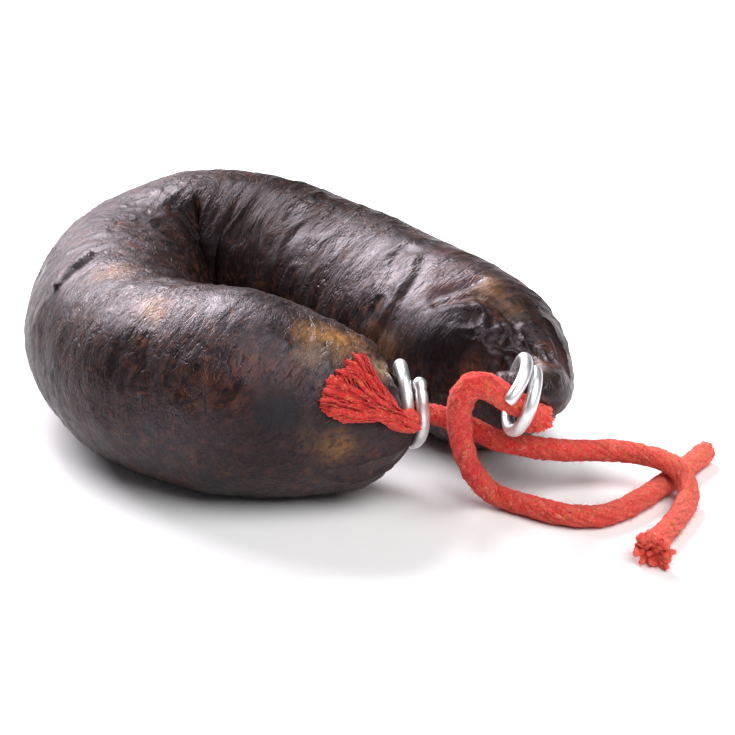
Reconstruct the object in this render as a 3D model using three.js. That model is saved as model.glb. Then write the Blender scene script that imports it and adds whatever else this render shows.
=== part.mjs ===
// A ring-shaped blood sausage lying on a table. Its casing is pinched shut at both ends
// by an aluminium wire clip, and a red cotton string is caught in each clip.
// Millimetres, +Z up. The origin is on the table, under the middle of the sausage.
import * as THREE from 'three';

// ---- Driving dimensions ----
const sink = 0.5;                // how far the soft underside is pressed flat
const bodyRings = 84;            // cross-sections along the sausage
const bodySides = 36;            // corners of each cross-section
const neckRadius = 3.4;          // casing where a clip pinches it
const stringDiameter = 4.0;
const stringSides = 10;
const stringSteps = 64;
const frayDiameter = 2.2;
const fraySteps = 12;
const wireDiameter = 2.2;
const wireSides = 12;
const clipSteps = 56;

// The axis of the sausage: x, y, and the casing's radius there. The axis lies one radius
// above the table, less the sink. A fourth number gives another height of the axis.
const sausageStations = [
  [25.7, -34.3, 2.8, 17.2],      // gathered casing past the near clip
  [24.3, -34.1, 3.1, 17.1],
  [22.1, -34.0, neckRadius, 17.0],
  [20.3, -34.1, 3.7, 16.9],
  [18.5, -34.9, 6.2, 16.6],
  [15.5, -36.2, 10.0, 16.3],
  [9.9, -36.8, 14.4, 16.2],
  [2.4, -36.2, 17.0, 16.8],
  [-9.3, -34.0, 19.0],
  [-20.7, -28.7, 18.6],
  [-28.9, -19.7, 17.8],
  [-33.5, -8.1, 17.6],
  [-34.9, 4.1, 17.3],
  [-34.5, 16.3, 16.9],
  [-30.9, 28.0, 16.8],
  [-21.7, 35.4, 17.6],
  [-9.7, 33.6, 17.8],
  [0.3, 26.5, 17.6],
  [9.2, 18.0, 17.4],
  [17.5, 9.0, 17.3],
  [25.1, -0.5, 17.2],
  [32.0, -9.8, 17.0],
  [38.3, -18.6, 15.9, 16.4],
  [42.3, -24.6, 12.4, 17.0],
  [45.4, -29.8, 8.2, 18.0],
  [47.1, -34.2, 5.2, 19.2],
  [47.3, -38.8, 4.2, 20.6],
  [45.7, -41.6, 3.7, 21.7],
  [42.1, -42.5, neckRadius, 22.6],
  [39.7, -42.6, 3.1, 22.9],
  [37.9, -42.8, 2.8, 23.1],      // gathered casing past the far clip
];

// Each clip is a length of wire wound a little over once round the neck: its middle, its
// height and depth along the wire's own axis, the way the neck runs through it, the lean of
// its top, where the wire starts and how far it winds. Its first end stands off by the splay,
// its lowest part is carried sideways by the hook, and its last end is drawn in by the tuck.
const clips = {
  near_clip: {
    middle: [22.4, -36.4, 17.2], height: 14.4, depth: 14.4, heading: 10, lean: -6,
    start: 286, sweep: 404, pitch: 2.6, splay: 0.3, hook: 1.5, tuck: 0,
  },
  far_clip: {
    middle: [42.1, -45.0, 22.8], height: 12.8, depth: 14.4, heading: 3, lean: 16,
    start: 279, sweep: 446, pitch: 2.1, splay: 2.1, hook: 0.4, tuck: 0.2,
  },
};

// The routes of the strings, from the clip down onto the table. Points are x, y, z of the
// string's middle, and the last ones lie on the table.
const strings = {
  near_string: [
    [22.0, -39.8, 17.0],
    [23.4, -39.8, 16.8],
    [25.9, -39.9, 16.5],
    [30.5, -40.6, 15.8],
    [34.7, -41.0, 13.7],
    [38.8, -40.8, 11.6],
    [44.4, -39.8, 9.9],
    [50.1, -38.0, 8.4],
    [55.7, -36.5, 7.6],
    [61.3, -36.0, 7.2],
    [65.9, -37.2, 7.0],
    [68.9, -39.0, 6.8],
    [71.3, -40.4, 6.0],
    [73.0, -42.2, 4.2],
    [73.3, -45.4, 2.4],
    [71.9, -50.0, 2.1],
    [69.7, -55.0, 2.1],
    [67.1, -60.2, 2.1],
    [64.7, -64.8, 2.1],
  ],
  far_string: [
    [44.9, -46.9, 19.4],
    [43.9, -47.8, 20.7],
    [42.4, -48.6, 22.2],
    [39.5, -49.0, 23.8],
    [36.7, -49.5, 26.2],
    [34.1, -49.8, 26.9],
    [32.0, -49.6, 25.4],
    [31.0, -49.2, 22.4],
    [31.1, -48.6, 17.6],
    [32.2, -47.6, 12.2],
    [34.3, -46.2, 6.8],
    [37.1, -45.0, 3.2],
    [40.1, -45.8, 2.1],
    [44.1, -48.4, 2.1],
    [49.3, -51.4, 2.1],
    [53.9, -52.6, 2.1],
    [57.1, -52.2, 2.1],
    [60.5, -50.0, 2.1],
    [64.5, -45.8, 2.1],
    [68.5, -40.6, 2.1],
    [72.7, -34.8, 2.1],
    [75.9, -29.8, 2.1],
    [78.3, -26.0, 2.1],
  ],
};

// The frayed tail of the near string is squeezed flat between the clip and the casing.
const frayRoute = [
  [19.0, -45.4, 19.6],
  [17.2, -47.8, 21.4],
  [14.3, -50.2, 23.3],
  [10.7, -52.1, 24.6],
  [7.3, -53.4, 25.2],
];

// ---- Finishes ----
function finish(color, roughness, metalness = 0) {
  return new THREE.MeshStandardMaterial({ color, roughness, metalness });
}

const casingFinish = finish(0x2a1a17, 0.38);
const clipFinish = finish(0xc9ccd0, 0.35, 1);
const stringFinish = finish(0xc8252b, 0.9);

// ---- Sausage ----
function smoothCurve(points) {
  const vectors = points.map((p) => new THREE.Vector3(...p));
  return new THREE.CatmullRomCurve3(vectors, false, 'centripetal');
}

// Where the sausage bends more sharply than it is thick, the casing on the inside of the
// bend bunches up against itself, so its reach towards the bend's centre is limited.
function bunched(reach, limit) {
  if (reach <= 0) return reach;
  const sharpness = 4;
  return reach / Math.pow(1 + Math.pow(reach / limit, sharpness), 1 / sharpness);
}

function sausageGeometry() {
  const axis = smoothCurve(sausageStations.map(([x, y, r, z]) => [x, y, z ?? r - sink]));
  const radii = smoothCurve(sausageStations.map(([, , r], i) => [i, r, 0]));
  const up = new THREE.Vector3(0, 0, 1);
  const bendWindow = 0.012;      // share of the length over which a bend is measured
  const bendShare = 0.88;        // how near the casing comes to a bend's centre
  const vertices = [];
  for (let i = 0; i <= bodyRings; i += 1) {
    const share = i / bodyRings;
    const middle = axis.getPointAt(share);
    const forward = axis.getTangentAt(share);
    const side = new THREE.Vector3().crossVectors(forward, up).normalize();
    const top = new THREE.Vector3().crossVectors(side, forward);
    const before = axis.getTangentAt(Math.max(0, share - bendWindow));
    const after = axis.getTangentAt(Math.min(1, share + bendWindow));
    const turn = after.clone().sub(before).dot(side);
    const bendRadius = (2 * bendWindow * axis.getLength()) / Math.max(Math.abs(turn), 1e-6);
    const radius = radii.getPoint(axis.getUtoTmapping(share)).y;
    for (let j = 0; j < bodySides; j += 1) {
      const angle = (2 * Math.PI * j) / bodySides - Math.PI / 2;
      const towards = Math.sign(turn) * radius * Math.cos(angle);
      const reach = Math.sign(turn) * bunched(towards, bendShare * bendRadius);
      const corner = middle.clone();
      corner.addScaledVector(side, reach);
      corner.addScaledVector(top, radius * Math.sin(angle));
      corner.z = Math.max(corner.z, 0);
      vertices.push(corner);
    }
  }
  return ringSkin(vertices, bodySides);
}

// Joins rings of corners into one closed skin, with a flat cap on each end.
function ringSkin(vertices, sides) {
  const rings = vertices.length / sides;
  const faces = [];
  for (let i = 0; i < rings - 1; i += 1) {
    for (let j = 0; j < sides; j += 1) {
      const a = i * sides + j;
      const b = i * sides + ((j + 1) % sides);
      faces.push(a, b + sides, b, a, a + sides, b + sides);
    }
  }
  const last = (rings - 1) * sides;
  for (let j = 1; j < sides - 1; j += 1) {
    faces.push(0, j, j + 1);
    faces.push(last, last + j + 1, last + j);
  }
  const geometry = new THREE.BufferGeometry();
  const coordinates = vertices.flatMap((v) => v.toArray());
  geometry.setAttribute('position', new THREE.Float32BufferAttribute(coordinates, 3));
  geometry.setIndex(faces);
  return geometry;
}

// ---- Cords and wires ----
function roundTube(curve, diameter, sides, steps) {
  const section = new THREE.Shape();
  for (let j = 0; j < sides; j += 1) {
    const angle = (2 * Math.PI * j) / sides;
    const x = (diameter / 2) * Math.cos(angle);
    const y = (diameter / 2) * Math.sin(angle);
    if (j === 0) section.moveTo(x, y);
    else section.lineTo(x, y);
  }
  return new THREE.ExtrudeGeometry(section, { steps, extrudePath: curve, bevelEnabled: false });
}

// The wire starts in front, runs over the top, down the back, under the neck and up in front
// again beside its own start. Its first end stands off a little from its last.
function clipCurve({ height, depth, start, sweep, pitch, splay, hook, tuck }) {
  const splayShare = 0.18;
  const tuckShare = 0.2;
  const points = [];
  for (let i = 0; i <= clipSteps; i += 1) {
    const turned = i / clipSteps;
    const angle = THREE.MathUtils.degToRad(start + sweep * turned);
    const standOff = splay * Math.pow(Math.max(0, 1 - turned / splayShare), 2);
    const hooked = hook * Math.pow(Math.max(0, -Math.cos(angle)), 2);
    const along = pitch * (sweep / 360) * (turned - 0.5) - standOff - hooked;
    const reach = 0.5 - 0.5 * tuck * Math.max(0, 1 - (1 - turned) / tuckShare);
    points.push([along, reach * depth * Math.sin(angle), reach * height * Math.cos(angle)]);
  }
  return smoothCurve(points);
}
function clipMesh(spec) {
  const wire = roundTube(clipCurve(spec), wireDiameter, wireSides, clipSteps);
  const mesh = new THREE.Mesh(wire, clipFinish);
  const lean = THREE.MathUtils.degToRad(spec.lean);
  const heading = THREE.MathUtils.degToRad(spec.heading);
  mesh.rotation.set(0, lean, heading, 'ZYX');
  mesh.position.set(...spec.middle);
  return mesh;
}

// ---- The whole part ----
const part = new THREE.Group();

function add(name, mesh) {
  mesh.name = name;
  part.add(mesh);
}

add('sausage', new THREE.Mesh(sausageGeometry(), casingFinish));
for (const [name, spec] of Object.entries(clips)) add(name, clipMesh(spec));
for (const [name, route] of Object.entries(strings)) {
  const tube = roundTube(smoothCurve(route), stringDiameter, stringSides, stringSteps);
  add(name, new THREE.Mesh(tube, stringFinish));
}
const frayTube = roundTube(smoothCurve(frayRoute), frayDiameter, stringSides, fraySteps);
add('near_fray', new THREE.Mesh(frayTube, stringFinish));

export default part;
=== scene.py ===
import math

import bpy
import numpy as np
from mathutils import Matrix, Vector
from mathutils.bvhtree import BVHTree


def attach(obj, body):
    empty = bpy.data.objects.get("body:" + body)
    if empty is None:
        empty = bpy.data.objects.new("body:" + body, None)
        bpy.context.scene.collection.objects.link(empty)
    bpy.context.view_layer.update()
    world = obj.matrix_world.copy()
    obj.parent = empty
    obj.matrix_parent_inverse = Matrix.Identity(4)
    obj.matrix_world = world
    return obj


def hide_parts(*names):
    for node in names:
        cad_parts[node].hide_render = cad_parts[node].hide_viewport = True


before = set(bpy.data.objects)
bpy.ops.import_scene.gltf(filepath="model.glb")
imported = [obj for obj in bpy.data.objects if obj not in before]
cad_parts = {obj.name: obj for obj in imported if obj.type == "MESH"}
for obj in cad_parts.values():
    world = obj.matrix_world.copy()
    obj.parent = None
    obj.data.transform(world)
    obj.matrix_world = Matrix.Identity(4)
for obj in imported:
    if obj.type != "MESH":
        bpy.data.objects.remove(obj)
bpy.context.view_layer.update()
print("frame loaded:", len(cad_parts), "nodes")

mm = 0.001               # shapes are worked out in millimetres and made in metres


# ways of working that several pieces share

def deselect():
    if bpy.context.object and bpy.context.object.mode != "OBJECT":
        bpy.ops.object.mode_set(mode="OBJECT")
    bpy.ops.object.select_all(action="DESELECT")


def cloud(points, size, seed):
    # soft lumps between -1 and 1, about one lump every size millimetres
    spot = points / size + np.array([17.3, 5.1, 29.7]) * seed
    cell = np.floor(spot).astype(np.int64)
    part = spot - cell
    part = part * part * (3 - 2 * part)
    total = np.zeros(points.shape[:-1])
    for corner in range(8):
        step = np.array([corner & 1, corner >> 1 & 1, corner >> 2 & 1])
        at = cell + step
        mix = at[..., 0] * 73856093 ^ at[..., 1] * 19349663 ^ at[..., 2] * 83492791
        mix = (mix ^ mix >> 13) * 1274126177 & 0xFFFFFFF
        mix = (mix ^ mix >> 11) * 668265263 & 0xFFFFFFF
        share = np.prod(np.where(step == 1, part, 1 - part), axis=-1)
        total += share * (mix / 0x7FFFFFF - 1)
    return total


def wrinkles(points, size, seed, sharp=0.28):
    # thin valleys, 0 on the flat and 1 at the bottom of a valley
    return np.clip(1 - np.abs(cloud(points, size, seed)) / sharp, 0, 1) ** 2


def smoothLine(points, count):
    # an even run of places on a smooth curve through the points, with any other columns carried along
    p = np.array(points, float)
    p = np.vstack([2 * p[0] - p[1], p, 2 * p[-1] - p[-2]])
    knots = np.append(0, np.cumsum(np.linalg.norm(np.diff(p[:, :3], axis=0), axis=1) ** 0.5))
    fine = []
    for i in range(1, len(p) - 2):
        t0, t1, t2, t3 = knots[i - 1:i + 3]
        t = np.linspace(t1, t2, 24, endpoint=False)[:, None]
        a1 = ((t1 - t) * p[i - 1] + (t - t0) * p[i]) / (t1 - t0)
        a2 = ((t2 - t) * p[i] + (t - t1) * p[i + 1]) / (t2 - t1)
        a3 = ((t3 - t) * p[i + 1] + (t - t2) * p[i + 2]) / (t3 - t2)
        b1 = ((t2 - t) * a1 + (t - t0) * a2) / (t2 - t0)
        b2 = ((t3 - t) * a2 + (t - t1) * a3) / (t3 - t1)
        fine.append(((t2 - t) * b1 + (t - t1) * b2) / (t2 - t1))
    fine = np.vstack(fine + [p[-2:-1]])
    run = np.append(0, np.cumsum(np.linalg.norm(np.diff(fine[:, :3], axis=0), axis=1)))
    stops = np.linspace(0, run[-1], count)
    return np.column_stack([np.interp(stops, run, fine[:, k]) for k in range(fine.shape[1])])


def lineLength(line):
    return float(np.linalg.norm(np.diff(line[:, :3], axis=0), axis=1).sum())


def stray(places, size, amount, seed):
    # pushes in every direction, to carry places off their straight ways
    return amount * np.stack([cloud(places, size, seed + k) for k in range(3)], -1)


def unit(vectors):
    return vectors / np.maximum(np.linalg.norm(vectors, axis=-1, keepdims=True), 1e-9)


def carriedFrames(line):
    # forward, side and top along a line, carried without twisting
    forward = unit(np.gradient(line, axis=0))
    side = np.zeros_like(forward)
    start = np.cross(forward[0], [0, 0, 1.0])
    side[0] = unit(start)
    for i in range(1, len(line)):
        kept = side[i - 1] - forward[i] * np.dot(side[i - 1], forward[i])
        side[i] = unit(kept)
    return forward, side, np.cross(side, forward)


def skinRows(name, rows, uv, marks):
    # a closed skin from a grid rolled into a tube: rows is rings x sides x 3, in millimetres,
    # and marks are named values at the same places, for the material to read
    rings, sides = rows.shape[:2]
    deselect()
    bpy.ops.mesh.primitive_grid_add(x_subdivisions=sides, y_subdivisions=rings - 1, size=1)
    piece = bpy.context.object
    piece.name = name
    mesh = piece.data
    mesh.name = name
    rolled = np.concatenate([rows, rows[:, :1]], axis=1) * mm
    mesh.vertices.foreach_set("co", rolled.reshape(-1))
    corner = np.zeros(len(mesh.loops), np.int32)
    mesh.loops.foreach_get("vertex_index", corner)
    mesh.uv_layers.active.data.foreach_set("uv", uv.reshape(-1, 2)[corner].reshape(-1))
    for mark, values in marks.items():
        vector = values.ndim == 3
        layer = mesh.attributes.new(mark, "FLOAT_VECTOR" if vector else "FLOAT", "POINT")
        values = np.concatenate([values, values[:, :1]], axis=1).astype(np.float32)
        layer.data.foreach_set("vector" if vector else "value", values.reshape(-1))
    mesh.update()
    bpy.ops.object.mode_set(mode="EDIT")
    bpy.ops.mesh.select_all(action="SELECT")
    bpy.ops.mesh.remove_doubles(threshold=1e-7)
    bpy.ops.mesh.select_all(action="SELECT")
    bpy.ops.mesh.fill_holes(sides=0)
    bpy.ops.mesh.select_all(action="SELECT")
    bpy.ops.mesh.normals_make_consistent(inside=False)
    bpy.ops.object.mode_set(mode="OBJECT")
    bpy.ops.object.shade_smooth()
    return piece


def threads(name, lines, sides):
    # round threads or wires along lines of x, y, z, radius, joined in one piece
    deselect()
    bpy.ops.curve.primitive_bezier_curve_add()
    piece = bpy.context.object
    piece.name = name
    curve = piece.data
    curve.splines.clear()
    for line in lines:
        spline = curve.splines.new("POLY")
        spline.points.add(len(line) - 1)
        places = np.column_stack([line[:, :3] * mm, np.ones(len(line))])
        spline.points.foreach_set("co", places.reshape(-1))
        spline.points.foreach_set("radius", line[:, 3])
    curve.dimensions = "3D"
    curve.bevel_depth = mm
    curve.bevel_resolution = max(0, sides // 2 - 2)
    curve.use_fill_caps = True
    bpy.ops.object.convert(target="MESH")
    piece = bpy.context.object
    piece.data.name = name
    bpy.ops.object.shade_smooth()
    return piece


def finishPiece(piece, slot, material, *nodes):
    # nodes are the frame's solids that the piece stands for
    piece.data.materials.clear()
    piece.data.materials.append(material)
    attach(piece, "root")
    if nodes:
        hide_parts(*nodes)


# node helpers

def newMaterial(name):
    material = bpy.data.materials.new(name)
    material.use_nodes = True
    tree = material.node_tree
    return material, tree, tree.nodes["Principled BSDF"]


def noiseNode(tree, source, scale, detail=4, rough=0.55, warp=0):
    node = tree.nodes.new("ShaderNodeTexNoise")
    node.inputs["Scale"].default_value = scale
    node.inputs["Detail"].default_value = detail
    node.inputs["Roughness"].default_value = rough
    node.inputs["Distortion"].default_value = warp
    tree.links.new(source, node.inputs["Vector"])
    return node.outputs["Fac"]


def rampNode(tree, source, *stops):
    # each stop is (place, grey or colour)
    node = tree.nodes.new("ShaderNodeValToRGB")
    band = node.color_ramp
    while len(band.elements) < len(stops):
        band.elements.new(0.5)
    for element, (place, shade) in zip(band.elements, stops):
        element.position = place
        element.color = (*shade, 1) if isinstance(shade, tuple) else (shade, shade, shade, 1)
    tree.links.new(source, node.inputs["Fac"])
    return node.outputs["Color"]


def mixNode(tree, amount, under, over):
    node = tree.nodes.new("ShaderNodeMix")
    node.data_type = "RGBA"
    sockets = [s for s in node.inputs if s.enabled]
    for socket, value in zip(sockets, (amount, under, over)):
        if isinstance(value, (int, float)):
            socket.default_value = value
        elif isinstance(value, tuple):
            socket.default_value = (*value, 1)
        else:
            tree.links.new(value, socket)
    return next(s for s in node.outputs if s.enabled)


def mathNode(tree, kind, first, second):
    node = tree.nodes.new("ShaderNodeMath")
    node.operation = kind
    for socket, value in zip(node.inputs, (first, second)):
        if isinstance(value, (int, float)):
            socket.default_value = value
        else:
            tree.links.new(value, socket)
    return node.outputs["Value"]


def markNode(tree, mark, output="Fac"):
    node = tree.nodes.new("ShaderNodeAttribute")
    node.attribute_name = mark
    return node.outputs[output]


def markedNode(tree, mark, share):
    return mathNode(tree, "MULTIPLY", markNode(tree, mark), share)


def slopeNode(tree, source, low, high, first, last):
    # first up to low, last from high on, and evenly between them
    node = tree.nodes.new("ShaderNodeMapRange")
    for socket, value in (("From Min", low), ("From Max", high), ("To Min", first), ("To Max", last)):
        node.inputs[socket].default_value = value
    tree.links.new(source, node.inputs["Value"])
    return node.outputs["Result"]


def coated(tree, look, ground, coats):
    # a ground colour under coats of (amount, shade), the last one on top
    colour = look[ground]
    for amount, shade in coats:
        colour = mixNode(tree, amount, colour, look[shade])
    return colour


def bumpNode(tree, height, strength, distance, normal=None):
    node = tree.nodes.new("ShaderNodeBump")
    if isinstance(strength, (int, float)):
        node.inputs["Strength"].default_value = strength
    else:
        tree.links.new(strength, node.inputs["Strength"])
    node.inputs["Distance"].default_value = distance
    tree.links.new(height, node.inputs["Height"])
    if normal is not None:
        tree.links.new(normal, node.inputs["Normal"])
    return node.outputs["Normal"]


def placed(tree, source, scale, turn=(0, 0, 0)):
    node = tree.nodes.new("ShaderNodeMapping")
    node.inputs["Scale"].default_value = scale
    node.inputs["Rotation"].default_value = turn
    tree.links.new(source, node.inputs["Vector"])
    return node.outputs["Vector"]


# the camera comes first

cameraSetup = {
    "aim": (0.0145, 0.0184, 0.0),    # on the table, a little behind the middle of the ring
    "distance": 0.609,
    "down": 24,                      # degrees that it looks down
    "lens": 146.9,
}


def addCamera():
    x, y, z = cameraSetup["aim"]
    down = math.radians(cameraSetup["down"])
    back = cameraSetup["distance"]
    place = (x, y - back * math.cos(down), z + back * math.sin(down))
    bpy.ops.object.camera_add(location=place, rotation=(math.pi / 2 - down, 0, 0))
    camera = bpy.context.object
    camera.name = "camera"
    camera.data.lens = cameraSetup["lens"]
    bpy.context.scene.camera = camera


addCamera()
print("camera placed")


# the strings: their routes are the CAD tubes' own points

strings = {
    "diameter": 4.0,
    "yarns": 9,
    "turn": 25.0,                    # millimetres of string for one turn of its yarns
    "groove": 0.085,                 # depth between two yarns, as a share of the radius
    "ringStep": 0.3,
    "sides": 72,
    # roughness as size, height and seed, the first one drawn out along the yarns
    "rough": [(2.5, 0.09, 7), (1.3, 0.13, 8), (0.65, 0.15, 9)],
    "sideFibre": {"thick": 0.028, "longest": 1.5},     # standing off the twisted string
    "endFibre": {"thick": 0.03, "longest": 1.6},       # standing off its frayed yarns
    "near": [
        (22.0, -39.8, 17.0), (23.4, -39.8, 16.8), (25.9, -39.9, 16.5), (30.5, -40.6, 15.8),
        (34.7, -41.0, 13.7), (38.8, -40.8, 11.6), (44.4, -39.8, 9.9), (50.1, -38.0, 8.4),
        (55.7, -36.5, 7.6), (61.3, -36.0, 7.2), (65.9, -37.2, 7.0), (68.9, -39.0, 6.8),
        (71.3, -40.4, 6.0), (73.0, -42.2, 4.2), (73.3, -45.4, 2.4), (71.9, -50.0, 2.1),
        (69.7, -55.0, 2.1), (67.1, -60.2, 2.1), (64.7, -64.8, 2.1),
    ],
    "far": [
        (44.9, -46.9, 19.4), (43.9, -47.8, 20.7), (42.4, -48.6, 22.2), (39.5, -49.0, 23.8),
        (36.7, -49.5, 26.2), (34.1, -49.8, 26.9), (32.0, -49.6, 25.4), (31.0, -49.2, 22.4),
        (31.1, -48.6, 17.6), (32.2, -47.6, 12.2), (34.3, -46.2, 6.8), (37.1, -45.0, 3.2),
        (40.1, -45.8, 2.1), (44.1, -48.4, 2.1), (49.3, -51.4, 2.1), (53.9, -52.6, 2.1),
        (57.1, -52.2, 2.1), (60.5, -50.0, 2.1), (64.5, -45.8, 2.1), (68.5, -40.6, 2.1),
        (72.7, -34.8, 2.1), (75.9, -29.8, 2.1), (78.3, -26.0, 2.1),
    ],
}


def stringPiece(name, route, seed, swell):
    # one thick skin grooved between its yarns, which wind round it; swell is a list of
    # (share of the length, how much thicker, reach)
    count = int(lineLength(smoothLine(route, 400)) / strings["ringStep"])
    line = smoothLine(route, count)
    long = lineLength(line)
    run = np.linspace(0, long, count)[:, None]
    _, side, top = carriedFrames(line)
    thick, sides = strings["diameter"] / 2, strings["sides"]
    angle = np.linspace(0, 2 * math.pi, sides, endpoint=False)[None, :]
    turned = angle + 2 * math.pi * run / strings["turn"]
    outward = side[:, None] * np.cos(angle)[..., None] + top[:, None] * np.sin(angle)[..., None]
    base = line[:, None] + outward * thick

    def alongYarn(across, length):
        return np.stack([np.cos(turned) * across, np.sin(turned) * across, run / length + 0 * angle], -1)

    lay = alongYarn(1.6, 9)
    place = turned * strings["yarns"] / (2 * math.pi) + 0.55 * cloud(lay * 2.0, 1.0, seed)
    valley = np.abs(np.sin(math.pi * place))
    depth = strings["groove"] * (0.8 + 0.8 * cloud(lay * 1.4, 1.0, seed + 3))
    radius = thick * (1.02 - depth * (1 - valley ** 0.55))
    radius = radius * (1 + 0.05 * cloud(base, 5.0, seed + 5))
    (drawnOut, height, step), *lumps = strings["rough"]
    radius = radius + height * cloud(alongYarn(9, drawnOut), 1.0, seed + step)
    for size, height, step in lumps:
        radius = radius + height * cloud(base, size, seed + step)
    for share, amount, reach in swell:
        radius = radius * (1 + amount * np.exp(-((run - share * long) / reach) ** 2))
    tip = np.clip(np.minimum(run, long - run) / 0.9, 0.02, 1)     # rounded off at both ends
    radius = radius * np.sqrt(1 - (1 - tip) ** 2)
    rows = line[:, None] + outward * radius[..., None]
    rows[..., 2] = np.maximum(rows[..., 2], 0.05)
    around = np.linspace(0, 1, sides + 1)[None, :] * math.pi * strings["diameter"]
    lean = math.atan(math.pi * strings["diameter"] / strings["turn"])
    across = around * math.cos(lean) + run * math.sin(lean)
    along = run * math.cos(lean) - around * math.sin(lean)
    # the mark valley is 1 at the bottom of a groove, where the material paints shade
    piece = skinRows(name, rows, np.stack([across, along], -1), {"valley": 1 - valley + 0 * run})
    return piece, line


def yarn(points, radius, seed, tipShare, curl):
    # one wavering yarn through a few points, blunt at its end
    long = lineLength(smoothLine(points, 50))
    count = max(8, int(long / 0.35))
    line = smoothLine(points, count)
    share = np.linspace(0, 1, count)
    line = line + stray(line, 2.2, 1, seed) * curl * np.minimum(1, share * 3)[:, None]
    thick = radius * (1 + 0.16 * cloud(line, 1.1, seed + 4))
    blunt = np.sqrt(np.clip((1 - share) / tipShare, 0.03, 1))
    return np.column_stack([line, thick * np.where(share > 1 - tipShare, blunt, 1)])


def fibre(places, thick):
    # a loose fibre, thinner towards its end and kept above the table
    places[:, 2] = np.maximum(places[:, 2], 0.06)
    return np.column_stack([places, thick * (1 - 0.6 * np.linspace(0, 1, len(places)))])


def fuzz(name, line, count, seed):
    # loose fibres standing off a string
    look = strings["sideFibre"]
    draw = np.random.default_rng(seed)
    forward, side, top = carriedFrames(line)
    t = np.linspace(0, 1, 5)[:, None]
    hairs = []
    for _ in range(count):
        i = draw.integers(1, len(line) - 1)
        turn = draw.uniform(0, 2 * math.pi)
        out = side[i] * math.cos(turn) + top[i] * math.sin(turn)
        around = np.cross(forward[i], out)
        lean = draw.uniform(-1, 1)
        long = look["longest"] * draw.uniform(0.2, 1) ** 4 + 0.35
        start = line[i] + out * (strings["diameter"] / 2 - 0.12)
        away = unit(out * draw.uniform(0.15, 0.9) + forward[i] * draw.choice([-1, 1]) * 0.8 + around * lean)
        bend = unit(draw.normal(size=3)) * long * 0.35
        hairs.append(fibre(start + away * long * t + bend * t * t, look["thick"]))
    return threads(name, hairs, sides=4)


def buildStrings(material):
    near, nearLine = stringPiece("near_string_twist", strings["near"], 11, [(0.98, 0.12, 4)])
    far, farLine = stringPiece("far_string_twist", strings["far"], 23, [(0.15, 0.20, 12), (0.99, 0.05, 3)])
    finishPiece(near, "string", material, "near_string")
    finishPiece(far, "string", material, "far_string")
    return near, nearLine, far, farLine


# the material of the strings: red cotton, deeper by the clips and paler at the far ends, with painted shade
# in the grooves between its yarns and in the dips of its felt

stringLook = {
    "deep": (0.55, 0.012, 0.015),
    # a deeper red, laid on the strings towards the clips
    "deepByClips": (0.46, 0.010, 0.018),
    "red": (0.95, 0.038, 0.038),
    "worn": (1.0, 0.20, 0.14),
    # painted shade, for the grooves between yarns and the dips of the felt
    "valley": (0.20, 0.005, 0.007),
    "fleckWarm": (0.62, 0.21, 0.05),
    "fleckPale": (0.72, 0.42, 0.24),
}


def cottonMaterial():
    material, tree, shader = newMaterial("red cotton")
    coordinates = tree.nodes.new("ShaderNodeTexCoord")
    here, skin = coordinates.outputs["Object"], coordinates.outputs["UV"]
    split = tree.nodes.new("ShaderNodeSeparateXYZ")
    tree.links.new(here, split.inputs["Vector"])
    fibres = noiseNode(tree, placed(tree, skin, (5.5, 0.9, 1)), 1.0, 6, 0.72, 0.4)
    felt = noiseNode(tree, here, 1250, 6, 0.75, 0.9)
    patchy = noiseNode(tree, here, 260, 4, 0.6)
    # how deep in a groove between yarns each place is, for the painted shade there
    groove = mathNode(tree, "POWER", markNode(tree, "valley"), 2.2)
    colour = coated(tree, stringLook, "deep", [
        (rampNode(tree, fibres, (0.36, 0), (0.60, 1)), "red"),
        (rampNode(tree, felt, (0.50, 0), (0.66, 0.85)), "worn"),
        # painted shade in the dips of the felt
        (rampNode(tree, felt, (0.32, 0.75), (0.42, 0)), "valley"),
        (rampNode(tree, patchy, (0.40, 0), (0.75, 0.5)), "worn"),
        (slopeNode(tree, split.outputs["X"], 0.045, 0.075, 0, 0.5), "worn"),     # paler at the far ends
        (slopeNode(tree, split.outputs["X"], 0.016, 0.040, 0.6, 0), "deepByClips"),     # deeper by the clips
        # painted shade in the grooves between yarns, stronger in patches
        (mathNode(tree, "MULTIPLY", groove, rampNode(tree, patchy, (0.38, 0.05), (0.62, 0.7))), "valley"),
        (rampNode(tree, noiseNode(tree, here, 2100, 3, 0.6, 0.6), (0.33, 0.8), (0.42, 0)), "deep"),
        (rampNode(tree, noiseNode(tree, here, 900, 2, 0.5, 1.5), (0.60, 0), (0.68, 0.8)), "fleckWarm"),
        (rampNode(tree, noiseNode(tree, here, 1300, 2, 0.5, 2.0), (0.62, 0), (0.70, 0.75)), "fleckPale"),
    ])
    tree.links.new(colour, shader.inputs["Base Color"])
    shader.inputs["Roughness"].default_value = 0.92
    shader.inputs["Specular IOR Level"].default_value = 0.2
    shader.inputs["Sheen Weight"].default_value = 0.35
    shader.inputs["Sheen Roughness"].default_value = 0.5
    shader.inputs["Sheen Tint"].default_value = (1.0, 0.45, 0.4, 1)
    normal = bumpNode(tree, fibres, 1.0, 0.0003)
    normal = bumpNode(tree, felt, 0.8, 0.0004, normal)
    tree.links.new(normal, shader.inputs["Normal"])
    return material


cotton = cottonMaterial()
nearString, nearLine, farString, farLine = buildStrings(cotton)
print("strings twisted: %.0f mm and %.0f mm" % (lineLength(nearLine), lineLength(farLine)))


# the sausage

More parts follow.
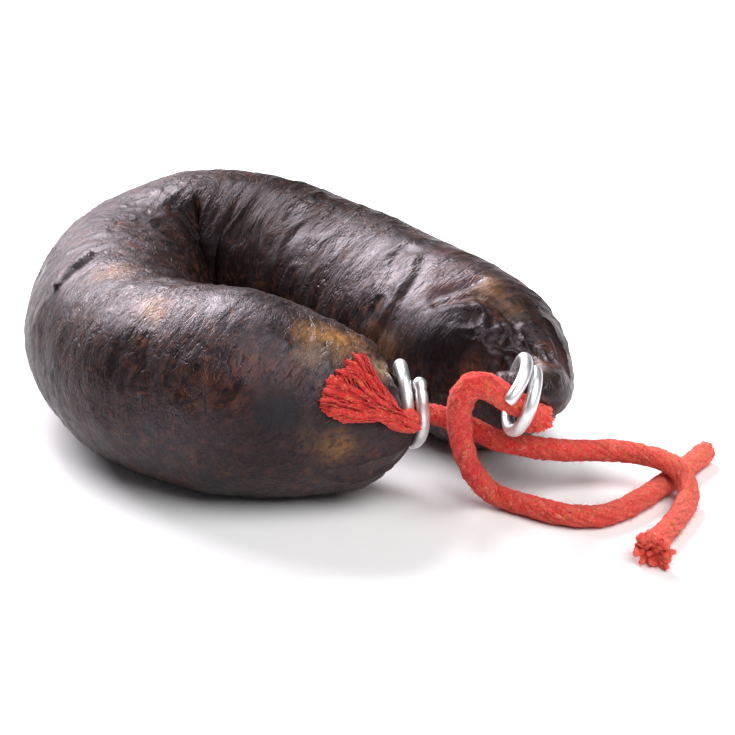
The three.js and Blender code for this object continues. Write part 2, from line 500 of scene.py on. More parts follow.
sausage = {
    "rings": 520,
    "sides": 180,
    "sink": 0.5,                     # how much its own weight flattens it
    "bendWindow": 0.012,             # share of the length over which a bend is measured
    "bendShare": 0.88,               # how near the bend's centre the inner side may come
    "wrinkleWay": (0.45, 0.70, 0.50),
    "wrinkleStretch": 3,
    "wrinkleTurn": (125, 165),       # where along it the wrinkles turn to cross the skin
    "stations": [                    # x, y, radius, and the height of the axis where it isn't lying flat
        (25.7, -34.3, 2.8, 17.2), (24.3, -34.1, 3.1, 17.1), (22.1, -34.0, 3.4, 17.0),
        (21.0, -34.1, 4.2, 16.8), (20.0, -34.4, 7.0, 16.4), (18.6, -34.9, 9.7, 16.1),
        (16.7, -35.5, 11.8, 16.0), (14.0, -36.1, 13.5, 16.0), (9.9, -36.7, 15.0, 16.2),
        (2.4, -36.2, 17.0, 16.8), (-9.3, -34.0, 19.0), (-20.7, -28.7, 18.6),
        (-28.9, -19.7, 17.8), (-33.5, -8.1, 17.6), (-34.9, 4.1, 17.3), (-34.5, 16.3, 16.9),
        (-30.9, 28.0, 16.8), (-21.7, 35.4, 17.6), (-9.7, 33.6, 17.8), (0.3, 26.5, 17.6),
        (9.2, 18.0, 17.4), (17.5, 9.0, 17.3), (25.1, -0.5, 17.2), (32.0, -9.8, 17.0),
        (38.3, -18.6, 15.9, 16.4), (42.3, -24.6, 12.4, 17.0), (45.4, -29.8, 8.2, 18.0),
        (47.1, -34.2, 5.2, 19.2), (47.3, -38.8, 4.2, 20.6), (45.7, -41.6, 3.7, 21.7),
        (42.1, -42.5, 3.4, 22.6), (39.7, -42.6, 3.1, 22.9), (37.9, -42.8, 2.8, 23.1),
    ],
}

# what the skin rises and sinks by, in millimetres
relief = {
    "lumps": [(21, 0.55, 1), (9, 0.28, 2), (4, 0.10, 3)],     # size, height, seed
    "wrinkles": 0.26,
    "betweenWrinkles": 0.11,
    "smallWrinkles": 0.11,
    "betweenSmallWrinkles": 0.05,
    "bendPleats": 0.42,
    "betweenBendPleats": 0.22,
    "farGather": (0.8, 0.5),         # swelling, then valleys
    "nearGather": (0.45, 0.75),
    "neckRuffle": 0.25,
    "neckPinch": 0.2,
    "crumples": (0.5, 1.0, 0.6),     # swelling, then large and small valleys
}

# crumpled skin above the far clip: middle, reach
crumples = [((38.5, -28.5, 27.0), 5.0), ((43.5, -31.0, 24.5), 4.5), ((34.0, -24.0, 28.0), 3.5)]

# folds pressed in or raised: points, width, height
folds = [
    ([(-44.2, -13.0, 30.2), (-42.4, -11.6, 31.8), (-41.4, -9.0, 32.6), (-39.4, -7.4, 33.4),
      (-38.0, -4.2, 34.0)], 0.8, -1.6),                        # the crack on the left, and its raised lip
    ([(-44.8, -11.5, 29.6), (-42.6, -8.4, 31.8), (-40.4, -5.4, 33.2), (-38.6, -2.6, 33.8)], 1.3, 0.5),
    ([(16.5, -15.3, 23.2), (18.4, -15.0, 26.2), (20.4, -12.6, 29.6), (22.2, -9.7, 31.8),
      (24.2, -5.1, 33.4)], 1.1, -0.45),                        # a crease across the far limb, between ridges
    ([(18.6, -17.2, 23.4), (20.6, -16.4, 26.6), (23.0, -13.2, 30.0), (25.0, -9.0, 32.2)], 1.7, 0.4),
    ([(14.8, -12.0, 24.0), (17.0, -10.8, 28.0), (19.4, -7.4, 31.4), (20.8, -3.2, 33.0)], 1.5, 0.35),
    ([(19.0, -4.4, 32.8), (20.8, -1.2, 33.6), (22.8, -2.4, 33.6)], 0.9, 0.5),
    ([(26.8, -18.4, 30.3), (29.4, -17.6, 31.6), (32.1, -16.4, 32.5), (34.9, -14.9, 32.9)], 1.2, 0.8),
    ([(27.7, -20.4, 29.2), (31.1, -20.2, 30.8), (35.7, -19.6, 31.8), (39.4, -21.3, 30.6),
      (42.2, -24.8, 28.4)], 1.2, 0.9),                         # the brow over the grey hollow
    ([(29.5, -22.6, 28.2), (33.0, -22.6, 29.4), (37.0, -22.8, 29.8)], 1.2, -0.9),
]

# broad hollows and swellings: middle, reach, height
dents = [
    ((29.1, -26.2, 26.0), 5.2, -2.6),     # grey hollow of the far limb
    ((34.6, -28.6, 26.6), 3.2, -1.2),
    ((31.0, -17.0, 31.6), 4.5, 0.7),
    ((38.5, -29.5, 26.5), 2.2, 0.8),
    ((-18.2, 21.6, 25.0), 4.5, -1.4),     # dip inside the bend
    ((16.6, -39.6, 26.0), 2.3, 2.0),      # fat knob beside the near clip
    ((19.3, -41.0, 22.0), 1.9, 1.8),      # dark gathered lump under it
    ((19.2, -38.0, 8.0), 4.5, 2.6),       # casing bulging below the clip
    ((17.0, -33.5, 27.0), 4.5, 0.8),
    ((7.0, -42.5, 31.0), 5.0, -0.5),
    ((12.5, -36.0, 29.5), 4.5, 0.5),
]

# patches of the skin with a look of their own, some of it painted light: middle, reach, strength
patches = {
    "ochre": [
        ((7.5, -40.5, 31.5), 3.6, 1.0), ((3.0, -41.0, 33.0), 2.6, 0.45), ((12.5, -36.5, 29.0), 2.6, 0.5),
        ((-24.2, -34.3, 35.5), 3.0, 0.42), ((-33.2, -14.9, 34.7), 3.2, 0.4), ((9.0, -51.5, 16.3), 2.8, 0.55),
        ((3.9, -52.3, 19.4), 1.8, 0.35), ((37.7, -17.6, 32.4), 3.0, 0.35), ((41.5, -21.0, 29.0), 2.6, 0.25),
        ((16.0, -19.0, 20.0), 4.0, 0.35), ((35.5, -33.0, 25.0), 2.5, 0.4), ((45.5, -36.0, 24.0), 2.5, 0.35),
    ],
    # pale fat and casing, and painted highlights: the two spots under the ochre patch by the fan and the
    # small one inside the bend stand for highlights
    "pale": [
        ((6.9, -44.2, 30.2), 2.6, 0.7), ((2.5, -45.6, 31.0), 1.6, 0.4), ((16.2, -40.6, 26.8), 2.9, 1.0),
        ((-23.5, -35.0, 35.0), 2.0, 0.25), ((41.5, -38.5, 25.8), 1.8, 0.5), ((46.8, -41.5, 23.5), 1.6, 0.6),
        ((-18.8, 20.9, 24.0), 1.2, 0.5),
    ],
    "grey": [
        ((0.5, -51.8, 23.5), 5.2, 1.0), ((-3.5, -52.3, 22.0), 3.4, 0.8), ((2.5, -52.0, 19.5), 2.6, 0.7),
        ((29.1, -26.2, 26.0), 4.5, 0.9), ((-41.5, -9.2, 32.4), 1.6, 0.9),
    ],
    "red": [
        ((-10.0, -51.3, 26.2), 7.0, 0.6), ((-4.0, -50.5, 28.0), 6.0, 0.6), ((2.0, -47.0, 29.5), 4.0, 0.4),
        ((8.0, 24.0, 33.0), 6.0, 0.5), ((-14.0, 38.0, 32.0), 6.0, 0.5), ((30.0, -6.0, 33.0), 6.0, 0.4),
        ((27.0, -17.0, 31.0), 5.0, 0.4), ((33.0, -20.0, 30.0), 5.0, 0.4), ((-2.0, 20.0, 31.0), 7.0, 0.35),
    ],
    # duller skin with painted shade: less shine, and a base darkened on the lower left and front sides, at
    # the back of the bend and about the far limb
    "dullAndShaded": [
        ((-44.0, -18.0, 20.0), 15.0, 0.95), ((-30.0, -38.0, 16.0), 14.0, 0.7),
        ((-5.0, -52.0, 16.0), 14.0, 0.5), ((18.0, 3.0, 32.0), 9.0, 0.45), ((-8.0, 29.0, 34.0), 17.0, 1.15),
        ((6.0, 20.0, 33.0), 12.0, 0.8), ((-20.0, 26.0, 30.0), 9.0, 0.6), ((30.0, -25.0, 25.0), 7.0, 0.95),
        ((45.0, -20.0, 22.0), 12.0, 0.5),
    ],
}


def strokeDistance(points, line):
    # how far each point is from a line of straight stretches
    best = np.full(points.shape[:-1], 1e9)
    line = np.array(line, float)
    for a, b in zip(line[:-1], line[1:]):
        ab = b - a
        t = np.clip(((points - a) @ ab) / (ab @ ab), 0, 1)
        best = np.minimum(best, np.linalg.norm(points - a - t[..., None] * ab, axis=-1))
    return best


def dab(points, middle, reach):
    # 1 at the middle, fading to nothing at about twice the reach
    return np.exp(-(np.linalg.norm(points - np.array(middle), axis=-1) / reach) ** 2)


def rowNormals(rows):
    along = np.gradient(rows, axis=0)
    around = np.roll(rows, -1, axis=1) - np.roll(rows, 1, axis=1)
    return unit(np.cross(around, along))


def sausageRows():
    # a round tube along the stations, squeezed on the inside of the bend so that it never crosses itself
    rings, sides = sausage["rings"] + 1, sausage["sides"]
    stations = []
    for x, y, radius, *height in sausage["stations"]:
        stations.append((x, y, height[0] if height else radius - sausage["sink"], radius))
    line = smoothLine(stations, rings)
    middle, radius = line[:, :3], line[:, 3:4]
    long = lineLength(line)
    forward = unit(np.gradient(middle, axis=0))
    side = unit(np.cross(forward, [0, 0, 1.0]))
    top = np.cross(side, forward)
    shift = round(sausage["bendWindow"] * rings)
    ahead = forward[np.minimum(np.arange(rings) + shift, rings - 1)]
    behind = forward[np.maximum(np.arange(rings) - shift, 0)]
    turn = ((ahead - behind) * side).sum(1, keepdims=True)
    bendRadius = 2 * shift * long / (rings - 1) / np.maximum(np.abs(turn), 1e-6)
    angle = np.linspace(0, 2 * math.pi, sides, endpoint=False)[None, :] - math.pi / 2
    towards = np.sign(turn) * radius * np.cos(angle)
    limit = sausage["bendShare"] * bendRadius
    inside = towards / (1 + (np.maximum(towards, 0) / limit) ** 4) ** 0.25
    reach = (np.sign(turn) * inside)[..., None]
    rise = (radius * np.sin(angle))[..., None]
    rows = middle[:, None] + side[:, None] * reach + top[:, None] * rise
    run = np.linspace(0, long, rings)[:, None] + 0 * angle
    return rows, run, angle + 0 * run, radius + 0 * angle, np.abs(turn) + 0 * angle, long


def fade(value, low, high):
    # 0 up to low, 1 from high on, and a smooth step between them
    t = np.clip((value - low) / (high - low), 0, 1)
    return t * t * (3 - 2 * t)


def wrinkleFlow(rows, run, angle, radius):
    # places for the wrinkles, in millimetres, drawn out along the way they run
    along = unit(np.array(sausage["wrinkleWay"]))
    across = unit(np.cross(along, [0, 0, 1.0]))
    stretch = sausage["wrinkleStretch"]
    first, last = sausage["wrinkleTurn"]
    near = np.stack([rows @ along / stretch, rows @ across, rows @ np.cross(across, along)], -1)
    far = np.stack([radius * np.cos(angle) / stretch, radius * np.sin(angle) / stretch, run], -1)
    far = far + (near - far)[np.argmax(run[:, 0] > (first + last) / 2)].mean(axis=0)
    share = fade(run, first, last)[..., None]
    return near * (1 - share) + far * share


def roundPlaces(along, angle, size):
    # places on a tube, for relief that runs along it
    return np.stack([along, size * np.cos(angle), size * np.sin(angle)], -1)


def wrinkled(rows, flow, body):
    # wrinkles rise to the right over the near limb and the bend, and cross the far limb
    lay = flow / 3.0 + stray(rows, 7, 0.35, 31)
    patchy = fade(cloud(rows, 17, 5) + 0.35 * cloud(rows, 6, 6), -0.55, 0.35)
    height = relief["betweenWrinkles"] * cloud(lay * 1.5, 1.0, 21) * body
    height -= relief["wrinkles"] * wrinkles(lay, 1.0, 7) * patchy * body
    finer = flow / 1.6 + stray(rows, 3, 0.4, 37)
    patchy = fade(cloud(rows, 12, 9), -0.5, 0.3)
    height -= relief["smallWrinkles"] * wrinkles(finer, 1.0, 8, 0.35) * body * patchy
    return height + relief["betweenSmallWrinkles"] * cloud(finer, 1.0, 25) * body


def pleated(rows, run, angle, turn):
    # pleats down the inside of the bends
    pleat = np.stack([run / 1.9 + 0.6 * cloud(rows, 6, 12), np.cos(angle) * 0.8, np.sin(angle) * 0.8], -1)
    inBend = fade(np.cos(angle), -0.1, 0.65) * fade(turn, 0.05, 0.16)
    height = relief["betweenBendPleats"] * cloud(pleat, 1.0, 14)
    return (height - relief["bendPleats"] * wrinkles(pleat, 1.0, 13, 0.6)) * inBend


def gathered(rows, fromNear, fromFar, angle):
    # folds gathered towards the far clip, and pleats towards the near one
    gather = roundPlaces(fromFar / 16, angle + fromFar / 40, 2.6) + stray(rows, 5, 0.16, 41)
    swelling, valleys = relief["farGather"]
    atFar = fade(fromFar, 5, 12) * (1 - fade(fromFar, 24, 40))
    height = (swelling * cloud(gather, 1.0, 15) - valleys * wrinkles(gather, 1.0, 16, 0.3)) * atFar
    close = roundPlaces(fromNear / 9, angle, 3.0) + stray(rows, 4, 0.12, 51)
    swelling, valleys = relief["nearGather"]
    atNear = fade(fromNear, 3, 6) * (1 - fade(fromNear, 12, 24))
    return height + (swelling * cloud(close, 1.0, 17) - valleys * wrinkles(close, 1.0, 18, 0.3)) * atNear


def sculpt(rows, run, angle, radius, turn, long):
    fromNear, fromFar = run, long - run
    body = fade(fromNear, 5, 14) * fade(fromFar, 12, 26)       # away from the gathered ends
    height = sum(high * cloud(rows, size, seed) for size, high, seed in relief["lumps"])
    height *= 0.25 + 0.75 * body
    flow = wrinkleFlow(rows, run, angle, radius)
    height += wrinkled(rows, flow, body)
    height += pleated(rows, run, angle, turn)
    height += gathered(rows, fromNear, fromFar, angle)
    # crumpled skin, with valleys of two sizes
    strayed = rows + stray(rows, 5, 0.9, 61)
    strayed = strayed + stray(rows, 1.8, 0.35, 64)
    crumpled = sum(dab(rows, middle, reach) for middle, reach in crumples)
    swelling, large, small = relief["crumples"]
    height += crumpled * (swelling * cloud(strayed, 3.0, 26) - large * wrinkles(strayed, 4.2, 27, 0.35)
                          - small * wrinkles(strayed, 2.4, 28, 0.35))
    # the pinched casing under the clips
    neck = 1 - fade(radius, 3.8, 5.5)
    ruffle = cloud(roundPlaces(run / 6, angle, 1.9), 1.0, 19)
    height = height * (1 - neck) + neck * (relief["neckRuffle"] * ruffle - relief["neckPinch"])
    for line, width, rise in folds:
        height += rise * np.exp(-(strokeDistance(strayed, line) / width) ** 2)
    for middle, reach, rise in dents:
        height += rise * dab(rows, middle, reach)
    made = rows + rowNormals(rows) * height[..., None]
    z = made[..., 2]
    made[..., 2] = 0.5 * (z + np.sqrt(z * z + 0.16)) + 0.02    # pressed flat where it meets the table
    return made, height, flow


def skinMarks(rows, run, radius, height):
    # what the casing's material reads: the patches, and how deep in a crease each place is, for the painted
    # shade there
    strayed = rows + stray(rows, 6, 1.5, 71)
    strayed = strayed + stray(rows, 2.2, 0.6, 74)
    marks = {}
    for mark, spots in patches.items():
        shown = sum(strong * dab(strayed, middle, reach) for middle, reach, strong in spots)
        marks[mark] = np.clip(shown, 0, 1)
    # painted shade: darker the deeper a place is sunk into the skin, and at the pinched necks under the clips
    pinched = (1 - fade(radius, 3.6, 5.0)) * (1 - fade(run, 0, 14))
    marks["crease"] = np.clip(np.clip(-height / 1.2, 0, 1) + 0.8 * pinched, 0, 1)
    return marks


casingLook = {
    "black": (0.0056, 0.0036, 0.0034),
    "brown": (0.026, 0.0105, 0.0068),
    "rust": (0.12, 0.034, 0.011),
    "ember": (0.18, 0.046, 0.013),
    # lilac-grey, partly bloom on the skin and partly painted sheen
    "bloomAndSheen": (0.040, 0.026, 0.029),
    "speck": (0.090, 0.036, 0.019),
    "ochre": (0.48, 0.22, 0.055),
    # pale fat and casing, also used for painted highlights
    "pale": (0.42, 0.29, 0.17),
    "grey": (0.014, 0.014, 0.0145),
    # painted shade for creases, dents and the pinched necks
    "crease": (0.0035, 0.0024, 0.0022),
}


def cellNode(tree, source, scale):
    # the distance to the nearest crease of a net of creases
    node = tree.nodes.new("ShaderNodeTexVoronoi")
    node.feature = "DISTANCE_TO_EDGE"
    node.inputs["Scale"].default_value = scale
    tree.links.new(source, node.inputs["Vector"])
    return node.outputs["Distance"]


def strayedNode(tree, source, noise, amount):
    # the source places pushed about by a noise
    node = tree.nodes.new("ShaderNodeVectorMath")
    node.operation = "MULTIPLY_ADD"
    tree.links.new(noise, node.inputs[0])
    node.inputs[1].default_value = (amount, amount, amount)
    tree.links.new(source, node.inputs[2])
    return node.outputs["Vector"]


def casingMaterial():
    material, tree, shader = newMaterial("blood sausage casing")
    here = tree.nodes.new("ShaderNodeTexCoord").outputs["Object"]
    flow = markNode(tree, "flow", "Vector")            # drawn out along the wrinkles
    broad = noiseNode(tree, here, 55, 5, 0.6, 0.6)
    middling = noiseNode(tree, here, 270, 5, 0.68, 0.9)
    fine = noiseNode(tree, here, 750, 4, 0.6)
    streaks = noiseNode(tree, flow, 0.30, 6, 0.62, 0.4)
    fineStreaks = noiseNode(tree, flow, 0.95, 5, 0.62, 0.3)
    push = tree.nodes.new("ShaderNodeTexNoise")
    push.inputs["Scale"].default_value = 0.5
    push.inputs["Detail"].default_value = 3
    tree.links.new(flow, push.inputs["Vector"])
    strayed = strayedNode(tree, flow, push.outputs["Color"], 3.0)
    creases = rampNode(tree, cellNode(tree, strayed, 0.42), (0.0, 0), (0.11, 1))
    smallCreases = rampNode(tree, cellNode(tree, strayed, 1.1), (0.0, 0), (0.14, 1))
    redness = markedNode(tree, "red", rampNode(tree, streaks, (0.40, 0), (0.62, 1)))
    ragged = rampNode(tree, fineStreaks, (0.36, 0.3), (0.56, 1))       # for the edges of patches
    grey = markedNode(tree, "grey", 0.92)
    colour = coated(tree, casingLook, "black", [
        (rampNode(tree, broad, (0.40, 0), (0.62, 1)), "brown"),
        (rampNode(tree, middling, (0.52, 0), (0.66, 0.7)), "rust"),
        (redness, "ember"),
        # partly bloom and partly painted sheen, on the raised streaks
        (rampNode(tree, streaks, (0.50, 0), (0.66, 0.7)), "bloomAndSheen"),
        # painted crease shade: thin dark streaks along the wrinkles
        (rampNode(tree, fineStreaks, (0.36, 0.9), (0.49, 0)), "crease"),
        # painted shade at the bottom of the bumped creases
        (rampNode(tree, creases, (0.0, 0.8), (0.6, 0)), "crease"),
        (rampNode(tree, fine, (0.54, 0), (0.68, 0.6)), "speck"),
        (markedNode(tree, "ochre", ragged), "ochre"),
        # pale skin, and painted highlights where the pale spots stand for them
        (markedNode(tree, "pale", ragged), "pale"),
        (grey, "grey"),
        # painted shade in the sculpted creases and dents, and at the necks
        (markedNode(tree, "crease", 0.85), "crease"),
        # painted shade: the base darkened towards black where the skin is marked dull
        (markedNode(tree, "dullAndShaded", 0.5), "black"),
    ])
    tree.links.new(colour, shader.inputs["Base Color"])
    rough = rampNode(tree, streaks, (0.32, 0.30), (0.66, 0.54))
    rough = mixNode(tree, grey, rough, (0.66, 0.66, 0.66))
    tree.links.new(rough, shader.inputs["Roughness"])
    shine = slopeNode(tree, markNode(tree, "dullAndShaded"), 0, 1, 0.46, 0.08)
    tree.links.new(shine, shader.inputs["Specular IOR Level"])
    shader.inputs["Specular Tint"].default_value = (1.0, 0.86, 1.0, 1)
    normal = bumpNode(tree, streaks, 0.40, 0.0009)
    creased = rampNode(tree, broad, (0.38, 0.08), (0.58, 0.42))
    normal = bumpNode(tree, creases, creased, 0.00025, normal)
    normal = bumpNode(tree, smallCreases, creased, 0.00015, normal)
    normal = bumpNode(tree, fine, 0.42, 0.0002, normal)
    tree.links.new(normal, shader.inputs["Normal"])
    return material


def buildSausage():
    rows, run, angle, radius, turn, long = sausageRows()
    made, height, flow = sculpt(rows, run, angle, radius, turn, long)
    marks = skinMarks(made, run, radius, height)
    marks["flow"] = flow
    across = np.linspace(0, 1, sausage["sides"] + 1)[None, :] + 0 * run[:, :1]
    uv = np.stack([across, run[:, :1] / long + 0 * across], -1)
    piece = skinRows("sausage_skin", made, uv, marks)
    finishPiece(piece, "casing", casingMaterial(), "sausage")
    return piece


skin = buildSausage()
skinTree = BVHTree.FromPolygons([vertex.co for vertex in skin.data.vertices],
                                [tuple(face.vertices) for face in skin.data.polygons])
print("sausage sculpted:", len(skin.data.polygons), "faces")


# the clips: aluminium wire wound rather more than once round each neck, with its ends overlapping

clips = {
    "wire": 2.45,
    "steps": 150,
    "splayShare": 0.18,              # share of the wire that stands off at its first end
    "tuckShare": 0.2,                # share that is tucked in at its last end
    "near_clip": {
        "middle": (22.4, -36.4, 17.2), "height": 14.4, "depth": 14.4, "heading": 10, "lean": -6,
        "start": 279, "sweep": 411, "pitch": 2.6, "splay": 0.3, "hook": 1.5, "tuck": 0, "button": True,
    },
    "far_clip": {
        "middle": (42.1, -45.0, 22.8), "height": 12.8, "depth": 14.4, "heading": 3, "lean": 16,
        "start": 279, "sweep": 446, "pitch": 2.1, "splay": 2.1, "hook": 0.4, "tuck": 0.2, "button": False,
    },
}


def clipLine(spec):
    turned = np.linspace(0, 1, clips["steps"])
    angle = np.radians(spec["start"] + spec["sweep"] * turned)
    standOff = spec["splay"] * np.maximum(0, 1 - turned / clips["splayShare"]) ** 2
    hooked = spec["hook"] * np.maximum(0, -np.cos(angle)) ** 2
    x = spec["pitch"] * spec["sweep"] / 360 * (turned - 0.5) - standOff - hooked
    reach = 0.5 - 0.5 * spec["tuck"] * np.maximum(0, 1 - (1 - turned) / clips["tuckShare"])
    y = reach * spec["depth"] * np.sin(angle)
    z = reach * spec["height"] * np.cos(angle)
    lean, heading = math.radians(spec["lean"]), math.radians(spec["heading"])
    x, z = x * math.cos(lean) + z * math.sin(lean), -x * math.sin(lean) + z * math.cos(lean)
    x, y = x * math.cos(heading) - y * math.sin(heading), x * math.sin(heading) + y * math.cos(heading)
    return np.stack([x, y, z], -1) + np.array(spec["middle"])


def clipPiece(name, spec, material):
    line = clipLine(spec)
    run = np.append(0, np.cumsum(np.linalg.norm(np.diff(line, axis=0), axis=1)))
    toEnd = run[-1] - run
    radius = clips["wire"] / 2 * (0.98 + 0.035 * cloud(line, 4, 3))
    radius *= 1 - 0.22 * np.exp(-(run / 0.28) ** 2)            # cut edges, a little rounded
    radius *= 1 - 0.35 * np.exp(-(toEnd / 0.35) ** 2)
    if spec["button"]:                                         # pressed end with a waist behind it
        radius *= 1 + 0.14 * np.exp(-((toEnd - 1.0) / 0.8) ** 2)
        radius *= 1 - 0.16 * np.exp(-((toEnd - 2.3) / 0.22) ** 2)
    piece = threads(name + "_wire", [np.column_stack([line, radius])], sides=24)
    points = np.zeros(len(piece.data.vertices) * 3)
    piece.data.vertices.foreach_get("co", points)
    points = points.reshape(-1, 3)
    outward = unit(points - np.array(spec["middle"]) * mm)
    points = points + outward * 0.05 * mm * cloud(points / mm, 2.2, 5)[:, None]
    piece.data.vertices.foreach_set("co", points.reshape(-1))
    piece.data.update()
    bpy.ops.object.shade_smooth_by_angle(angle=math.radians(50))
    finishPiece(piece, "clip", material, name)


def aluminiumMaterial():
    material, tree, shader = newMaterial("clip aluminium")
    here = tree.nodes.new("ShaderNodeTexCoord").outputs["Object"]
    worn = noiseNode(tree, here, 480, 5, 0.6)
    colour = rampNode(tree, worn, (0.25, (0.58, 0.59, 0.60)), (0.5, (0.82, 0.83, 0.84)),
                      (0.8, (0.93, 0.93, 0.94)))
    tree.links.new(colour, shader.inputs["Base Color"])
    shader.inputs["Metallic"].default_value = 1
    tree.links.new(rampNode(tree, worn, (0.3, 0.52), (0.7, 0.34)), shader.inputs["Roughness"])
    scratches = noiseNode(tree, placed(tree, here, (1, 0.25, 0.25), (0.2, 0.1, 0.5)), 2600, 3, 0.7)
    normal = bumpNode(tree, scratches, 0.35, 0.00006)
    normal = bumpNode(tree, worn, 0.30, 0.0002, normal)
    tree.links.new(normal, shader.inputs["Normal"])
    return material


aluminium = aluminiumMaterial()
for clipName in ("near_clip", "far_clip"):
    clipPiece(clipName, clips[clipName], aluminium)
print("clips wound")


# the frayed ends

def onSkin(point, lift):
    # the place on the casing nearest to a point, lifted off it
    place, normal, _, _ = skinTree.find_nearest(Vector(point) * mm)
    return np.array(place / mm + normal * lift)


fan = {
    "columns": [                     # from the clip outwards, each from its top row to its bottom row
        [(21.6, -41.6, 16.7), (21.5, -42.0, 16.0), (21.4, -41.8, 15.2)],
        [(19.6, -43.2, 17.3), (19.6, -43.6, 16.6), (19.6, -43.4, 15.5)],
        [(17.3, -44.3, 18.9), (17.1, -45.0, 18.4), (17.6, -45.3, 17.2)],
        [(13.9, -44.2, 22.4), (13.5, -45.6, 22.3), (13.0, -46.9, 21.9), (13.2, -47.8, 20.7),
         (14.2, -47.8, 19.2)],
        [(12.0, -41.6, 27.4), (10.2, -44.2, 27.5), (8.0, -46.9, 26.9), (6.6, -49.0, 25.6), (6.0, -50.3, 24.0),
         (6.3, -51.0, 22.5), (7.8, -51.0, 21.2), (10.6, -50.3, 19.9)],
    ],
    "rows": 40,
    "layers": [(22, 0.30, 0.0), (15, 0.95, 0.02), (8, 1.55, 0.06)],    # yarns, lift, how much shorter
    "yarn": 0.55,
    "fibres": 170,
}


def fanLine(columns, row, shorter, lift, draw, rough=0.2):
    # a line through the columns at one row, lying on the casing
    above, part = int(row), row % 1
    below = min(fan["rows"] - 1, above + 1)
    knots = [column[above] + (column[below] - column[above]) * part for column in columns]
    knots[-1] = knots[-1] + (knots[-2] - knots[-1]) * shorter
    points = [knots[0] + draw.normal(scale=0.1, size=3)]
    for a, b in zip(knots[1:-1], knots[2:]):
        points.append(onSkin(a, lift + rough * draw.normal()))
        points.append(onSkin((a + b) / 2, lift + rough * draw.normal()))
    points.append(onSkin(knots[-1], lift + rough * draw.random()))
    return points


def fanPiece():
    # the near string's tail, opened into a fan of yarns pressed on the casing, with fine fibres over it
    draw = np.random.default_rng(5)
    last = fan["rows"] - 1
    columns = [smoothLine(column, fan["rows"]) for column in fan["columns"]]
    yarns = []
    for layer, (count, lift, shorter) in enumerate(fan["layers"]):
        for i in range(count):
            row = np.clip((i + 0.5 + draw.uniform(-0.4, 0.4)) / count, 0, 1) * last
            points = fanLine(columns, row, shorter + draw.uniform(-0.08, 0.14), lift, draw)
            thick = fan["yarn"] * draw.uniform(0.75, 1.25)
            yarns.append(yarn(points, thick, 200 + 30 * layer + i, 0.02, 0.42))
    fibres = []
    for i in range(fan["fibres"]):
        row, shorter, lift = draw.uniform(0, last), draw.uniform(-0.06, 0.3), draw.uniform(0.5, 2.0)
        points = fanLine(columns, row, shorter, lift, draw, 0.35)
        first = draw.integers(0, len(points) - 3)
        fibres.append(yarn(points[first:], draw.uniform(0.07, 0.17), 400 + i, 0.03, 0.6))
    return threads("near_string_fan", yarns + fibres, sides=8), yarns


# the other frayed ends: end is 0 for a string's first end and -1 for its last
splays = {
    "rings": [(1.5, 1.0), (1.15, 0.85), (0.6, 0.45)],      # radius, and share of the yarns and of the length
    "near_string_splay": {"end": -1, "seed": 301, "length": 4.6, "spread": 2.0, "yarns": 20, "thick": 0.6,
                          "lifted": (0.55, -0.1, 0.35), "gap": (-1, -0.2, 0.15)},
    "far_string_tail": {"end": 0, "seed": 341, "length": 1.9, "spread": 1.3, "yarns": 22, "thick": 0.45},
    "far_string_tip": {"end": -1, "seed": 381, "length": 1.5, "spread": -0.2, "yarns": 12, "thick": 0.5},
}


def splayPiece(name, line):
    # yarns opening out from one end of a string round a hollow, with a gap on one side if it says so
    look = splays[name]
    end = look["end"]
    forward, side, top = carriedFrames(line)
    spot, across, up = line[end], side[end], top[end]
    ahead = -forward[end] if end == 0 else forward[end]
    away = unit(ahead + np.array(look.get("lifted", (0, 0, 0))))
    draw = np.random.default_rng(look["seed"])
    yarns = []
    for ring, share in splays["rings"]:
        count = round(look["yarns"] * share)
        for i in range(count):
            turn = 2 * math.pi * (i + draw.uniform(-0.3, 0.3)) / count
            out = across * math.cos(turn) + up * math.sin(turn)
            if "gap" in look and np.dot(out, unit(np.array(look["gap"]))) > 0.88:
                continue
            long = look["length"] * draw.uniform(0.7, 1.1) * (0.55 + 0.45 * share)
            spread = out * look["spread"] * share
            start = spot - ahead * 3.2 + out * ring
            edge = spot + out * ring
            points = np.array([start, start + ahead * 2.4 + out * 0.1,
                               edge + away * long * 0.45 + spread * 0.45, edge + away * long + spread])
            points = points + draw.normal(scale=0.14, size=points.shape) * np.array([[0], [0.5], [1], [1.5]])
            points[:, 2] = np.maximum(points[:, 2], 0.55)
            yarns.append(yarn(points, look["thick"] * draw.uniform(0.75, 1.25), look["seed"] + i, 0.02, 0.45))
    fibres = []
    for i in range(look["yarns"] * 6):
        whole = yarns[draw.integers(len(yarns))][:, :3]
        first = draw.integers(0, len(whole) // 2)
        points = whole[first::5] + draw.normal(scale=0.28, size=3)
        if len(points) > 2:
            points[:, 2] = np.maximum(points[:, 2], 0.3)
            fibres.append(yarn(points, draw.uniform(0.07, 0.16), look["seed"] + 100 + i, 0.04, 0.6))
    return threads(name, yarns + fibres, sides=8), yarns


def yarnFuzz(name, lines, count, seed):
    # loose fibres standing off the yarns of a frayed end
    look = strings["endFibre"]
    draw = np.random.default_rng(seed)
    t = np.linspace(0, 1, 4)[:, None]
    hairs = []
    for _ in range(count):
        line = lines[draw.integers(len(lines))]
        start = line[draw.integers(1, len(line) - 1), :3]
        away = unit(draw.normal(size=3))
        long = look["longest"] * draw.uniform(0.3, 1) ** 2 + 0.3
        bend = unit(draw.normal(size=3)) * long * 0.3
        hairs.append(fibre(start + away * (0.5 + long * t) + bend * t * t, look["thick"]))
    return threads(name, hairs, sides=4)


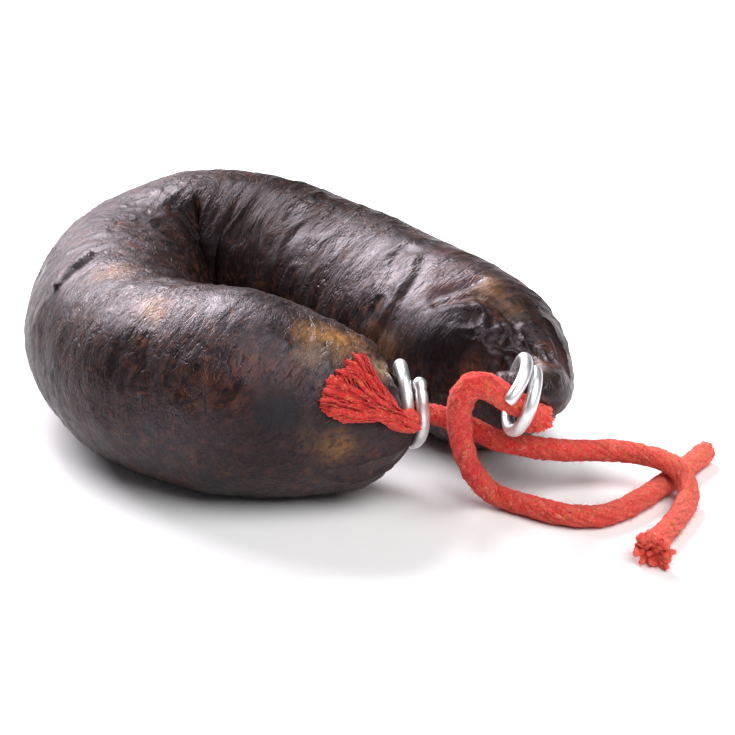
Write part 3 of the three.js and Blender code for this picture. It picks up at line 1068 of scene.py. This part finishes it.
nearFan, fanLines = fanPiece()
nearSplay, nearSplayLines = splayPiece("near_string_splay", nearLine)
farTail, farTailLines = splayPiece("far_string_tail", farLine)
farTip, farTipLines = splayPiece("far_string_tip", farLine)
nearHairs = fuzz("near_string_fuzz", nearLine, 1900, 71)
farHairs = fuzz("far_string_fuzz", farLine, 2300, 72)
endHairs = yarnFuzz("near_end_fuzz", fanLines + nearSplayLines, 420, 73)
tailHairs = yarnFuzz("far_end_fuzz", farTailLines + farTipLines, 160, 74)
for piece in (nearSplay, farTail, farTip, nearHairs, farHairs, endHairs, tailHairs):
    finishPiece(piece, "string", cotton)
finishPiece(nearFan, "string", cotton, "near_fray")
print("ends frayed")


# the table, the light and the air round them

studio = {
    "floor": (0.86, 0.86, 0.86),
    "air": (0.95, 0.93, 1.0),
    "airStrength": 0.13,
    "tint": (1.0, 0.95, 1.0),        # the lights behind are a little lilac
    "lights": [                      # name, place, aim, size, watts
        ("key", (-0.52, 0.55, 0.55), (-0.01, 0.0, 0.02), 0.50, 11.5),
        ("back", (-0.22, 0.66, 0.66), (0.0, 0.0, 0.02), 0.42, 9.8),
        ("front", (0.40, -0.45, 0.82), (0.03, -0.03, 0.02), 1.00, 12.0),
    ],
}


def addFloor():
    deselect()
    bpy.ops.mesh.primitive_plane_add(size=6)
    floor = bpy.context.object
    floor.name = "table"
    material, tree, shader = newMaterial("pale table")
    shader.inputs["Base Color"].default_value = (*studio["floor"], 1)
    shader.inputs["Roughness"].default_value = 0.9
    shader.inputs["Specular IOR Level"].default_value = 0.1
    floor.data.materials.append(material)


def addLights():
    world = bpy.data.worlds.new("air")
    bpy.context.scene.world = world
    world.use_nodes = True
    air = world.node_tree.nodes["Background"]
    air.inputs["Color"].default_value = (*studio["air"], 1)
    air.inputs["Strength"].default_value = studio["airStrength"]
    for name, place, aim, size, watts in studio["lights"]:
        bpy.ops.object.light_add(type="AREA", location=place)
        light = bpy.context.object
        light.name = name
        light.data.shape = "DISK"
        light.data.size = size
        light.data.energy = watts
        light.data.color = studio["tint"] if name != "front" else (1, 1, 1)
        light.rotation_euler = (Vector(aim) - Vector(place)).to_track_quat("-Z", "Y").to_euler()


addFloor()
addLights()
bpy.context.scene.view_settings.view_transform = "Standard"
print("studio lit")
